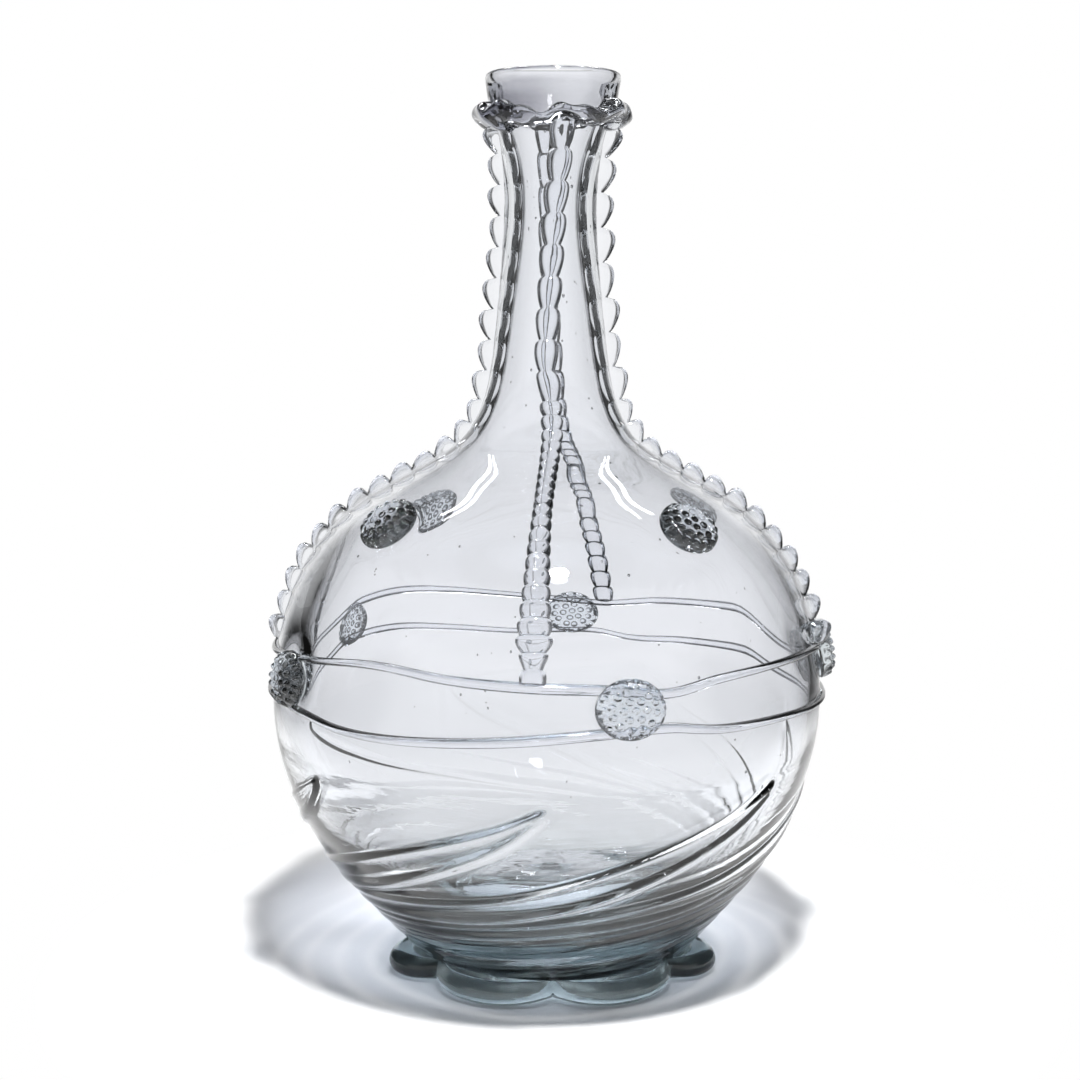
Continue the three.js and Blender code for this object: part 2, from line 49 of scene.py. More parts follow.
tiny = 1e-5  # keeps a divisor off 0


# Plain maths
def clamp(value, low=0.0, high=1.0):
    return min(high, max(low, value))


def smooth(value):
    t = clamp(value)
    return t * t * (3 - 2 * t)


def mix(a, b, share):
    return a + (b - a) * share


def through(points, steps):
    # Centripetal curve through flat points, with even steps between each two of them
    ends = [(2 * points[0][0] - points[1][0], 2 * points[0][1] - points[1][1])]
    tail = [(2 * points[-1][0] - points[-2][0], 2 * points[-1][1] - points[-2][1])]
    knots = ends + list(points) + tail
    curve = []
    for i in range(1, len(knots) - 2):
        four = knots[i - 1:i + 3]
        d0, d1, d2 = [max(tiny, math.dist(four[k], four[k + 1]) ** 0.5) for k in range(3)]
        for step in range(steps):
            t = step / steps
            point = []
            for axis in range(2):
                a, b, c, d = [knot[axis] for knot in four]
                rise = ((b - a) / d0 - (c - a) / (d0 + d1) + (c - b) / d1) * d1
                fall = ((c - b) / d1 - (d - b) / (d1 + d2) + (d - c) / d2) * d1
                point.append(b + rise * t + (3 * (c - b) - 2 * rise - fall) * t * t
                             + (2 * (b - c) + rise + fall) * t ** 3)
            curve.append(tuple(point))
    return curve + [tuple(points[-1])]


class Curve:
    # A smooth line through points, read by its first coordinate
    def __init__(self, points, steps=12):
        line = through(points, steps)
        self.at, self.values = [point[0] for point in line], [point[1] for point in line]

    def __call__(self, x):
        i = stepIn(self.at, x)
        share = clamp((x - self.at[i]) / (self.at[i + 1] - self.at[i]))
        return mix(self.values[i], self.values[i + 1], share)


def stepIn(values, value):
    return min(max(bisect.bisect_right(values, value) - 1, 0), len(values) - 2)


# Blown body: its outline is the solids' own, but fuller under the lip. The lists are (radius, level),
# (level, offset to the right) and (level, thickness). The kick is the hollow pushed into the base, and its
# lists are shares of its radius and of its rise.
body = {
    "outline": [(39.5, 6.5), (51, 20), (66.2, 41), (74.8, 72), (68.2, 106), (54, 124), (38, 134),
                (24, 143), (17.8, 154), (14.2, 178), (12.3, 205), (13.1, 218), (14.5, 225.5), (16.8, 231.5),
                (17.9, 238.1)],
    "lean": [(0, 0.9), (6.5, 0.9), (41, -0.6), (72, -0.6), (124, -0.5), (154, 0.2), (205, 0.4), (240, 1.1)],
    "wall": [(6.5, 7.4), (20, 5.8), (41, 3.6), (61, 2.6), (80, 2.3), (106, 2.2), (134, 2.6), (154, 3.2),
             (178, 3.8), (205, 4.8), (215, 4.4), (223, 3.4), (228, 2.9), (232.5, 3.6), (236, 2.6),
             (238.1, 1.9)],
    "lipRise": 0.95, "lipWall": 1.9, "lipTilt": 0.6, "tiltFrom": 228, "tiltSpan": 11, "rimSteps": 14,
    "baseWall": 6.5, "insideFrom": 3, "kickRise": 11, "kickRadius": 31.5, "kickSteps": 8,
    "kickUnder": [(0, 1), (0.36, 0.88), (0.7, 0.52), (0.9, 0.2), (1, 0)],
    "kickOver": [(0.76, 0.36), (0.4, 0.84), (0, 1)], "kickEdge": 0.9,
    "sides": 200, "rowStep": 1.1, "outlineSteps": 50, "evenings": 150, "fusedWithin": 0.3,
    "unevenWall": 0.14, "unevenSpan": 22, "unevenBetween": (14, 232), "unevenFull": 40, "axisRadius": 5,
    "insideShare": 0.6, "stampDepth": 1.0, "stampWide": 7.0,
    "thickLeft": 1.25, "thickRight": 0.7, "thickLevel": 102, "thickTall": 18, "thickFrom": 0.7,
    "thickFade": 0.25,
    "seeds": 210, "seedDraw": 11, "seedLevels": (25, 228), "seedSizes": (0.11, 0.14, 0.18, 0.25, 0.34),
    "seedDepth": (0.35, 0.65), "seedStretch": (0.9, 1.7), "seedFineness": 2,
}
waistLevel = body["outline"][0][1]
lipLevel = body["outline"][-1][1]
outline = through(body["outline"], body["outlineSteps"])
for _ in range(body["evenings"]):
    # Evens out the curve's bends, which reflections would show as kinks
    inner = [((a[0] + 2 * b[0] + c[0]) / 4, (a[1] + 2 * b[1] + c[1]) / 4)
             for a, b, c in zip(outline, outline[1:], outline[2:])]
    outline = [outline[0], *inner, outline[-1]]
lean = Curve(body["lean"])
wallAt = Curve(body["wall"])
lengths = [0.0]
for before, after in zip(outline, outline[1:]):
    lengths.append(lengths[-1] + math.dist(before, after))
outlineLength = lengths[-1]
outlineLevels = [point[1] for point in outline]


def lengthAt(level):
    # Length along the outline at a level
    i = stepIn(outlineLevels, level)
    share = (level - outlineLevels[i]) / (outlineLevels[i + 1] - outlineLevels[i])
    return mix(lengths[i], lengths[i + 1], share)


def outlineAt(length):
    # Radius, level and outward normal at a length along the outline. The normal is taken over a few points
    # on either side, so that it turns smoothly.
    i = stepIn(lengths, length)
    share = (length - lengths[i]) / (lengths[i + 1] - lengths[i])
    before, after = outline[max(0, i - 2)], outline[min(len(outline) - 1, i + 3)]
    run = math.dist(before, after)
    return (mix(outline[i][0], outline[i + 1][0], share), mix(outline[i][1], outline[i + 1][1], share),
            (after[1] - before[1]) / run, (before[0] - after[0]) / run)


def roundAt(azimuth, radius, level):
    # Place of a point round the body's axis, which leans with the glass
    turn = math.radians(azimuth)
    return Vector((radius * math.sin(turn) + lean(level), -radius * math.cos(turn), level))


def onGlass(azimuth, length, proud):
    # Place of a point that stands proud of the outer glass
    radius, level, outward, upward = outlineAt(length)
    return roundAt(azimuth, radius + proud * outward, level + proud * upward)


# Node trees: sums on sockets, and one way to add any other node
class Value:
    def __init__(self, nodes, socket):
        self.nodes, self.socket = nodes, socket

    def sum(self, operation, *others):
        return self.nodes.add("ShaderNodeMath", {"operation": operation}, dict(enumerate((self, *others))))

    def __add__(self, other):
        return self.sum("ADD", other)

    __radd__ = __add__

    def __mul__(self, other):
        return self.sum("MULTIPLY", other)

    __rmul__ = __mul__

    def __sub__(self, other):
        return self.sum("SUBTRACT", other)

    def __rsub__(self, other):
        return (self * -1) + other

    def __truediv__(self, other):
        return self.sum("DIVIDE", other)

    def within(self, low, high):
        # 0 below low, 1 above high, smooth between
        return self.nodes.add("ShaderNodeMapRange", {"interpolation_type": "SMOOTHSTEP"},
                              {"Value": self, "From Min": low, "From Max": high})


class Nodes:
    def __init__(self, owner):
        owner.use_nodes = True
        self.tree = owner.node_tree
        self.tree.nodes.clear()

    def add(self, kind, settings=None, inputs=None, output=0):
        made = self.tree.nodes.new(kind)
        for name, value in (settings or {}).items():
            setattr(made, name, value)
        for name, value in (inputs or {}).items():
            if isinstance(value, Value):
                self.tree.links.new(value.socket, made.inputs[name])
            else:
                made.inputs[name].default_value = value
        return Value(self, made.outputs[output]) if made.outputs else made

    def split(self, vector):
        parts = self.add("ShaderNodeSeparateXYZ", inputs={"Vector": vector}).socket.node
        return [Value(self, parts.outputs[axis]) for axis in "XYZ"]

    def blend(self, share, first, second):
        # The first colour where share is 0, the second where it is 1. A Mix node takes colours at its
        # sockets 6 and 7 and gives one at 2.
        return self.add("ShaderNodeMix", {"data_type": "RGBA"}, {0: share, 6: first, 7: second}, 2)


def opaque(colour):
    return (*colour, 1)


# Kinds of glass. Levels and lengths are in metres here, as materials read them.
plainGlass = {
    # The waist and base colours are partly painted shade, over the glass's own tint
    "tint": (0.951, 0.958, 0.984), "deepTintAndShade": (0.64, 0.69, 0.70), "waistTintAndShade": (0.52, 0.565, 0.575),
    # The lip colour is painted shade
    "lipPaintedShade": (0.40, 0.40, 0.45), "shade": (0.635, 0.645, 0.67), "shadeBetween": (0.55, 0.95),
    "depthColour": (0.36, 0.44, 0.45), "density": 14.0, "index": 1.5, "facingBlend": 0.5,
    "waistBetween": (0.0105, 0.0175), "deepBetween": (0.008, 0.027), "paintedShadeLean": 0.0,
    "lipBetween": (0.224, 0.230), "rimBetween": (0.2340, 0.2380), "rimLean": 0.17,
    "patches": 1.5, "rightBetween": (-0.012, 0.008), "rightLessShaded": 0.75,
    "grain": (1, 1, 1), "rippleScale": 40.0, "rippleDetail": 2.0, "rippleHeight": 0.0002, "ripple": 0.0,
    "smearScale": 38.0, "smearDetail": 4.0, "smearBetween": (0.5, 0.8), "smear": 0.008,
    "wornBetween": (0.0002, 0.0012), "worn": 0.25,
}


def glassFinish(name, look):
    # Clear glass: the tint of each surface, the tint of its depth, faint ripples and smears
    material = bpy.data.materials.new(name)
    nodes = Nodes(material)
    place = nodes.add("ShaderNodeTexCoord", output="Object")
    sideways, behind, level = nodes.split(place)
    stretched = nodes.add("ShaderNodeMapping", inputs={"Vector": place, "Scale": look["grain"]})
    ripples = nodes.add("ShaderNodeTexNoise", inputs={
        "Vector": stretched, "Scale": look["rippleScale"], "Detail": look["rippleDetail"]})
    bump = nodes.add("ShaderNodeBump", inputs={
        "Strength": look["ripple"], "Distance": look["rippleHeight"], "Height": ripples})
    smears = nodes.add("ShaderNodeTexNoise", inputs={
        "Vector": place, "Scale": look["smearScale"], "Detail": look["smearDetail"]})
    # Partly the thick glass's own tint and partly painted shade: darkest at the waist over the foot, dark
    # where the base is thick, and reaching higher at the front as the lean is set
    aboveWaist = level.within(*look["waistBetween"])
    aboveBase = (level + behind * look["paintedShadeLean"]).within(*look["deepBetween"])
    low = nodes.blend(aboveWaist, opaque(look["waistTintAndShade"]), opaque(look["deepTintAndShade"]))
    plain = nodes.blend(aboveBase, low, opaque(look["tint"]))
    # Painted shade on the flared lip, up to just under its rim, in patches and most so at its left
    underRim = 1 - (level - behind * look["rimLean"]).within(*look["rimBetween"])
    lip = level.within(*look["lipBetween"]) * underRim * (smears * look["patches"])
    lip = lip * (1 - sideways.within(*look["rightBetween"]) * look["rightLessShaded"])
    tint = nodes.blend(lip, plain, opaque(look["lipPaintedShade"]))
    # The underside is worn where the foot stands
    worn = 1 - level.within(*look["wornBetween"])
    roughness = smears.within(*look["smearBetween"]) * look["smear"] + worn * look["worn"]
    glass = nodes.add("ShaderNodeBsdfPrincipled", inputs={
        "Base Color": tint, "Roughness": roughness, "Normal": bump, "Transmission Weight": 1.0,
        "IOR": look["index"]})
    # Lamplight passes through tinted, so that the shadow is pale, and less of it at grazing angles
    lamplight = nodes.add("ShaderNodeLightPath", output="Is Shadow Ray")
    facing = nodes.add("ShaderNodeLayerWeight", inputs={"Blend": look["facingBlend"]}, output="Facing")
    passing = nodes.add("ShaderNodeBsdfTransparent", inputs={"Color": opaque(look["shade"])})
    lit = nodes.add("ShaderNodeMixShader", inputs={
        0: lamplight * (1 - facing.within(*look["shadeBetween"])), 1: glass, 2: passing})
    # A face inside fused glass is no surface at all
    clear = nodes.add("ShaderNodeBsdfTransparent")
    fused = nodes.add("ShaderNodeAttribute", {"attribute_name": "fused"}, output="Fac")
    surface = nodes.add("ShaderNodeMixShader", inputs={0: fused, 1: lit, 2: clear})
    depth = nodes.add("ShaderNodeVolumeAbsorption", inputs={
        "Color": opaque(look["depthColour"]), "Density": look["density"]})
    nodes.add("ShaderNodeOutputMaterial", inputs={"Surface": surface, "Volume": depth})
    return material


clearGlass = glassFinish("clearGlass", plainGlass)
# The gather's waist colour is near black and its base colour dark: mostly painted shade, reaching higher at
# the front
gatherGlass = glassFinish("gatherGlass", {
    **plainGlass, "deepTintAndShade": (0.335, 0.363, 0.377), "deepBetween": (0.010, 0.022), "paintedShadeLean": 0.25,
    "waistTintAndShade": (0.05, 0.062, 0.065), "density": 40.0,
    "grain": (0.3, 0.3, 2.4), "rippleScale": 240.0, "ripple": 0.2})
footGlass = glassFinish("footGlass", {
    **plainGlass, "tint": (0.75, 0.805, 0.815), "deepTintAndShade": (0.75, 0.805, 0.815),
    "waistTintAndShade": (0.75, 0.805, 0.815), "density": 60.0, "shade": (0.5, 0.52, 0.53)})
trailGlass = glassFinish("trailGlass", {**plainGlass, "rippleScale": 300.0, "ripple": 0.2})
pruntGlass = glassFinish("pruntGlass", {
    **plainGlass, "tint": (0.92, 0.94, 0.965), "density": 30.0, "rippleScale": 200.0, "ripple": 0.04})


# Pieces
def finishPiece(name, shape, material, slot, *nodes):
    # Welds and shades a bmesh, and makes it a piece that stands for the nodes named
    bmesh.ops.remove_doubles(shape, verts=shape.verts, dist=weldGap)
    bmesh.ops.dissolve_degenerate(shape, edges=shape.edges, dist=sliver)
    bmesh.ops.recalc_face_normals(shape, faces=shape.faces)
    bubble = shape.faces.layers.int.get("bubble")
    if bubble:
        bmesh.ops.reverse_faces(shape, faces=[face for face in shape.faces if face[bubble]])
    bmesh.ops.scale(shape, vec=(millimetre,) * 3, verts=shape.verts)
    mesh = bpy.data.meshes.new(name)
    shape.to_mesh(mesh)
    shape.free()
    mesh.materials.append(material)
    mesh.shade_smooth()
    mesh.set_sharp_from_angle(angle=math.radians(sharpAngle))
    piece = bpy.data.objects.new(name, mesh)
    bpy.context.scene.collection.objects.link(piece)
    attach(piece, "root")
    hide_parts(*nodes)
    print(name, "made with", len(mesh.polygons), "faces")


def wrapped(columns, rows, place):
    # A grid whose corners run from 0 to 1 both ways, wrapped into a shape by place(across, up)
    shape = bmesh.new()
    bmesh.ops.create_grid(shape, x_segments=columns, y_segments=rows, size=1)
    for corner in shape.verts:
        corner.co = place((corner.co.x + 1) / 2, (corner.co.y + 1) / 2)
    return shape


def closeRing(shape):
    # Joins the seam of a wrapped grid, then its two open edges
    seam = {corner for edge in shape.edges if edge.is_boundary for corner in edge.verts}
    bmesh.ops.remove_doubles(shape, verts=list(seam), dist=weldGap)
    edges = [edge for edge in shape.edges if edge.is_boundary]
    if edges:
        bmesh.ops.bridge_loops(shape, edges=edges)


# Second gather over the lower body: seven leaf-shaped ribs that twist and end in points.
# Each rib runs back from its point. The lists are by the degrees behind it: how far down the upper edge
# lies, and how wide the leaf is.
gather = {
    "top": 61, "join": 65, "ribs": 7, "skin": 0.06, "skinFade": 3, "footFade": 0.6,
    "inside": 0.9, "buried": 0.6, "brim": 0.05,
    "drop": [(0, 0), (9.4, 5.4), (19.7, 9.8), (31.9, 14.6), (51.4, 22), (64, 25.7), (102.8, 32.2),
             (154, 39), (205, 44), (257, 48.3), (308, 52), (420, 56)],
    "leaf": [(0, 0.3), (3, 2.4), (9, 4.6), (20, 6.4), (37, 7.6), (60, 6.4), (100, 4.4), (160, 3.2),
             (420, 2.4)],
    "turns": 8, "spareAbove": 3, "spareBelow": 4, "tip": 1.4,
    "upperRidge": 0.75, "behind": 0.8, "behindBlend": 2, "lowerRidge": 0.95, "narrow": 0.8, "broad": 1.35,
    "pad": 0.45, "padEdge": 1.5, "waistShare": 0.5, "waistClear": 3, "waistFade": 20,
    "columns": 420, "rowStep": 0.55, "rowsInside": 24,
}
ribPitch = 360 / gather["ribs"]
ribDrop = Curve(gather["drop"])
ribWidth = Curve(gather["leaf"])


def ribProud(azimuth, level):
    proud = 0.0
    towardsBack = smooth(-math.cos(math.radians(azimuth)) * gather["behindBlend"])
    upperRidge = gather["upperRidge"] * mix(1.0, gather["behind"], towardsBack)
    for turn in range(gather["turns"]):
        behind = -azimuth % ribPitch + turn * ribPitch
        down = gather["top"] - ribDrop(behind) - level
        width = ribWidth(behind)
        if not -gather["spareAbove"] < down < width + gather["spareBelow"]:
            continue
        upper = upperRidge * math.exp(-(down / gather["narrow"]) ** 2)
        lower = gather["lowerRidge"] * math.exp(-((down - width) / gather["broad"]) ** 2)
        pad = gather["pad"] * smooth(down / gather["padEdge"]) * smooth((width - down) / gather["padEdge"])
        proud = max(proud, smooth(behind / gather["tip"]) * max(upper + pad, lower + pad))
    aboveWaist = smooth((level - waistLevel - gather["waistClear"]) / gather["waistFade"])
    return proud * mix(gather["waistShare"], 1.0, aboveWaist)


def gatherProud(azimuth, level):
    edge = smooth((gather["join"] - level) / gather["skinFade"])
    edge *= smooth((level - waistLevel) / gather["footFade"])
    return edge * (gather["skin"] + ribProud(azimuth, level))


def markFused(shape, isFused):
    # Faces inside fused glass, which let light straight through
    fused = shape.faces.layers.float.new("fused")
    for face in shape.faces:
        middle = face.calc_center_median()
        radius = math.hypot(middle.x - lean(middle.z), middle.y)
        own = outlineAt(lengthAt(clamp(middle.z, waistLevel, lipLevel)))[0]
        face[fused] = 1.0 if isFused(middle.z, radius - own) else 0.0


def makeGather():
    low, high = lengthAt(waistLevel), lengthAt(gather["join"])
    rows = int((high - low) / gather["rowStep"])
    inside = gather["rowsInside"]

    def place(across, up):
        row = round(up * (rows + inside))
        if row <= rows:
            length = mix(low, high, row / rows)
            return onGlass(across * 360, length, gatherProud(across * 360, outlineAt(length)[1]))
        return onGlass(across * 360, mix(high, low, (row - rows - 1) / (inside - 1)), -gather["inside"])

    shape = wrapped(gather["columns"], rows + inside, place)
    closeRing(shape)
    brim = gather["join"] - gather["brim"]
    markFused(shape, lambda level, proud: proud < -gather["buried"] or level > brim)
    finishPiece("secondGather", shape, gatherGlass, "gather_glass", "base_gather")


# Blown body with its pushed-in base, long neck and rounded lip
def addSeeds(shape):
    # Seeds, the tiny bubbles left in the wall, round and stretched
    draw = random.Random(body["seedDraw"])
    for _ in range(body["seeds"]):
        level = draw.uniform(*body["seedLevels"])
        size = draw.choice(body["seedSizes"])
        azimuth = draw.uniform(0, 360)
        middle = onGlass(azimuth, lengthAt(level), -wallAt(level) * draw.uniform(*body["seedDepth"]))
        made = bmesh.ops.create_icosphere(shape, subdivisions=body["seedFineness"], radius=size)
        stretch = draw.uniform(*body["seedStretch"])
        bmesh.ops.scale(shape, vec=(1, 1, stretch), verts=made["verts"])
        bmesh.ops.translate(shape, vec=middle, verts=made["verts"])
    bubble = shape.faces.layers.int.new("bubble")
    for face in shape.faces:
        face[bubble] = 1
    return set(shape.verts)


def walls():
    # Both walls of the glass as (radius, level), from the waist up, the inner one with half as many rows
    outside, inside = [], []
    joinLength = lengthAt(gather["join"])
    lower = int(joinLength / body["rowStep"])
    upper = int((outlineLength - joinLength) / body["rowStep"])
    rows = [joinLength * i / lower for i in range(lower)]
    rows += [mix(joinLength, outlineLength, i / upper) for i in range(upper + 1)]
    lowest = waistLevel + body["baseWall"] + body["insideFrom"]
    for i, length in enumerate(rows):
        radius, level, outward, upward = outlineAt(length)
        outside.append((radius, level))
        if level > lowest and i % 2 == 0 or length == rows[-1]:
            depth = wallAt(level)
            inside.append((radius - depth * outward, level - depth * upward))
    return outside, inside


def lipRim():
    # A half circle from the outer wall over to the inner one
    radius, _, outward, upward = outlineAt(outlineLength)
    half = body["lipWall"] / 2
    rim = []
    for i in range(body["rimSteps"] + 1):
        turn = math.radians(180 * i / body["rimSteps"])
        side = half * (1 - math.cos(turn))
        rise = body["lipRise"] + half * math.sin(turn)
        rim.append((radius - side * outward, lipLevel - side * upward + rise))
    return rim


def bodyProfile():
    # From the middle of the hollow under the base out, up, over the rim and down again inside
    outside, inside = walls()
    kick, rise, floor = body["kickRadius"], body["kickRise"], waistLevel + body["baseWall"]
    under = [(kick * share, waistLevel + rise * up) for share, up in body["kickUnder"]]
    over = [(kick * share, floor + rise * up) for share, up in body["kickOver"]]
    over = [inside[0], (kick, floor + body["kickEdge"])] + over
    return (through(under, body["kickSteps"]) + outside + lipRim() + inside[:0:-1]
            + through(over, body["kickSteps"]))


def wallShift(corner, stamps):
    # How far the inner wall moves outwards, or inwards below 0: uneven blowing, the dent behind each
    # stamped prunt, and thicker glass at the sides of the shoulder
    x, y, level = corner
    radius = math.hypot(x, y)
    shift = body["unevenWall"] * noise.noise(corner / body["unevenSpan"]) * clamp(radius / body["unevenFull"])
    away = min((corner - stamp).length for stamp in stamps)
    shift -= body["stampDepth"] * math.exp(-(away / body["stampWide"]) ** 2)
    thick = body["thickLeft"] if x < 0 else body["thickRight"]
    aside = smooth((abs(x) / radius - body["thickFrom"]) / body["thickFade"])
    shift -= thick * aside * math.exp(-((level - body["thickLevel"]) / body["thickTall"]) ** 4)
    return shift


def makeBody():
    shape = bmesh.new()
    seeds = addSeeds(shape)
    stamps = [roundAt(azimuth, outlineAt(lengthAt(level))[0], level)
              for row in ("upper", "lower") for azimuth, level in prunts[row]["places"].values()]
    corners = [shape.verts.new((radius, 0, level)) for radius, level in bodyProfile()]
    edges = [shape.edges.new(pair) for pair in zip(corners, corners[1:])]
    bmesh.ops.spin(shape, geom=corners + edges, axis=(0, 0, 1), cent=(0, 0, 0), dvec=(0, 0, 0),
                   angle=math.tau, steps=body["sides"], use_merge=True)
    lipRadius = outlineAt(outlineLength)[0]
    lowest, highest = body["unevenBetween"]
    for corner in shape.verts:
        if corner in seeds:
            continue
        x, y, level = corner.co
        radius = math.hypot(x, y)
        if radius > body["axisRadius"] and lowest < level < highest:
            if radius < outlineAt(lengthAt(level))[0] - wallAt(level) * body["insideShare"]:
                shift = wallShift(corner.co, stamps)
                corner.co.x += shift * x / radius
                corner.co.y += shift * y / radius
        corner.co.z += body["lipTilt"] * smooth((level - body["tiltFrom"]) / body["tiltSpan"]) * y / lipRadius
        corner.co.x += lean(level)
    near = body["fusedWithin"]
    markFused(shape, lambda level, proud: waistLevel < level < gather["join"] and abs(proud) < near)
    finishPiece("blownBody", shape, clearGlass, "clear_glass", "body_shell")


# Foot ring: a thick trail pinched by hand into lobes, raised at the pinches. Pinches are azimuths.
foot = {
    "height": 6.2, "bore": 31, "pinches": [0, 51, 85, 131, 180, 230, 276, 310], "pinchReach": 38.6,
    "lobeProud": 6.9, "sideProud": 2.4, "rearProud": 2.6, "lobeRound": 0.5, "pinchLift": 2.2,
    "frontFrom": -0.1, "frontBlend": 0.5, "rimHeight": 6.6, "roll": 3.3, "rollSpare": 1.4, "rollSteps": 14,
    "soleEdge": 1.2, "soleLift": 0.3, "dish": 1.5, "dishAt": 0.55, "seatSpare": 0.3, "seatEdge": 0.2,
    "columns": 320, "rows": 57, "smoothing": 0.5, "flatBelow": 0.2,
}


def lobeAt(azimuth):
    # 0 at a pinch, 1 in the middle of a lobe
    turned = azimuth % 360
    pinches = foot["pinches"] + [foot["pinches"][0] + 360]
    for low, high in zip(pinches, pinches[1:]):
        if low <= turned <= high:
            return math.sin(math.pi * (turned - low) / (high - low)) ** foot["lobeRound"]
    return 0.0


def footPlace(across, up):
    azimuth = across * 360
    turned = math.radians(azimuth)
    lobe = lobeAt(azimuth)
    forward = smooth((math.cos(turned) - foot["frontFrom"]) / foot["frontBlend"])
    front = foot["lobeProud"] + foot["sideProud"] * math.sin(turned) ** 2
    reach = foot["pinchReach"] + mix(foot["rearProud"], front, forward) * lobe
    lift = foot["pinchLift"] * (1 - lobe)
    roll = min(foot["roll"], (reach - foot["pinchReach"]) / 2 + foot["rollSpare"])
    top = mix(foot["height"], foot["rimHeight"], lobe)
    middle, half = (top + lift) / 2, (top - lift) / 2
    seat = foot["height"] + seatDepth + foot["seatSpare"]
    # The section as (radius, level): out along the sole, round the lobe, and back over the dished top
    section = [(foot["bore"], 0.0), (reach - roll - foot["soleEdge"], lift * foot["soleLift"])]
    for i in range(foot["rollSteps"] + 1):
        turn = math.radians(-90 + 180 * i / foot["rollSteps"])
        section.append((reach - roll + roll * math.cos(turn), middle + half * math.sin(turn)))
    section.append((mix(reach - roll, foot["pinchReach"], foot["dishAt"]), top - foot["dish"] * lobe))
    section += [(foot["pinchReach"] - foot["seatEdge"], seat), (foot["bore"], seat)]
    share = up * (len(section) - 1)
    i = min(int(share), len(section) - 2)
    (r0, z0), (r1, z1) = section[i], section[i + 1]
    return roundAt(azimuth, mix(r0, r1, share - i), mix(z0, z1, share - i))


def makeFoot():
    shape = wrapped(foot["columns"], foot["rows"], footPlace)
    closeRing(shape)
    above = [corner for corner in shape.verts if corner.co.z > foot["flatBelow"]]
    bmesh.ops.smooth_vert(shape, verts=above, factor=foot["smoothing"],
                          use_axis_x=True, use_axis_y=True, use_axis_z=True)
    finishPiece("footRing", shape, footGlass, "foot_glass", "foot_ring")


# Wavy collar under the lip. Its lower edge droops at the left of the front, and its upper edge dips along
# the whole front.
collar = {
    "level": 228.9, "tall": 6.2, "proud": 5.2, "round": 0.9, "reach": 0.8, "reachTurn": 0.6,
    "waves": 7, "rise": 0.9, "skew": 0.5, "swell": 0.14, "swellTurn": 1, "fold": 0.5,
    "droop": 2.0, "droopAt": -42, "droopWide": 20, "dip": 2.6, "dipWide": 48, "columns": 252, "rows": 32,
}


def turnFrom(azimuth, start):
    # Degrees from start to azimuth, from -180 to 180
    return (azimuth - start + 180) % 360 - 180


def collarPlace(across, up):
    azimuth = across * 360
    wave = math.radians(azimuth * collar["waves"])
    droop = collar["droop"] * math.exp(-(turnFrom(azimuth, collar["droopAt"]) / collar["droopWide"]) ** 2)
    dip = collar["dip"] * math.exp(-(turnFrom(azimuth, 0) / collar["dipWide"]) ** 4)
    rise = collar["rise"] * math.sin(wave + collar["skew"] * math.sin(wave))
    middle = collar["level"] + rise - (droop + dip) / 2
    proud = collar["proud"] + collar["reach"] * math.cos(wave + collar["reachTurn"])
    swell = 1 + collar["swell"] * math.sin(wave * 2 + collar["swellTurn"])
    half = collar["tall"] / 2 * swell + (droop - dip) / 2
    turn = math.tau * up
    bulge = max(0.0, math.sin(turn))
    level = middle - half * math.cos(turn)
    out = bulge ** collar["round"] * proud
    fold = collar["fold"] * math.sin(turn * 2 + wave) * bulge
    sink = seatDepth if math.sin(turn) <= flush else 0
    return roundAt(azimuth, outlineAt(lengthAt(level))[0] + out - sink, level + fold)


def makeCollar():
    shape = wrapped(collar["columns"], collar["rows"], collarPlace)
    finishPiece("neckCollar", shape, trailGlass, "trail_glass", "neck_collar")


# Two threads wound once round the belly, each a list of (azimuth, level)
threads = {
    "wide": 2.3, "proud": 1.45, "swell": 0.18, "swells": 3, "swellTurn": 440,
    "startAt": -60, "lap": 3, "steps": 24, "columns": 360, "rows": 14,
    "thread_upper": [
        (-90, 88.3), (-56, 90.9), (-35, 93.0), (-19, 91.4), (-3, 90.3), (11, 89.5), (23, 88.0), (34, 89.9),
        (50, 90.6), (70, 90.2), (84, 88.0), (97, 86.0), (108, 88.0), (120, 90.6), (136, 91.5), (151, 90.7),
        (165, 89.0), (185, 91.3), (206, 94.0), (223, 95.0), (236, 93.0)],
    "thread_lower": [
        (-90, 77.6), (-56, 77.8), (-43, 76.2), (-30, 76.1), (-8, 77.7), (9, 79.4), (22, 80.0), (33, 78.2),
        (50, 77.5), (70, 76.4), (90, 76.0), (110, 77.2), (128, 78.4), (143, 77.2), (158, 76.7), (168, 79.0),
        (186, 78.6), (205, 80.7), (221, 82.6), (235, 82.0), (252, 79.0)],
}


def threadCurve(route):
    # The route as a curve, lapped over itself where it starts and ends
    lap = threads["lap"]
    before = [(azimuth - 360, level) for azimuth, level in route[-lap:]]
    after = [(azimuth + 360, level) for azimuth, level in route[:lap]]
    return Curve(before + route + after, threads["steps"])


def makeThread(node, name):
    line = threadCurve(threads[node])

    def place(across, up):
        azimuth = across * 360 + threads["startAt"]
        middle = lengthAt(line(azimuth))
        turn = math.tau * up
        vary = math.sin(math.radians(azimuth * threads["swells"] + threads["swellTurn"]))
        wide = threads["wide"] * (1 + threads["swell"] * vary)
        out = threads["proud"] * max(0.0, math.sin(turn))
        sink = seatDepth if math.sin(turn) <= flush else 0
        return onGlass(azimuth, middle - wide / 2 * math.cos(turn), out - sink)

    shape = wrapped(threads["columns"], threads["rows"], place)
    finishPiece(name, shape, trailGlass, "trail_glass", node)
    return line


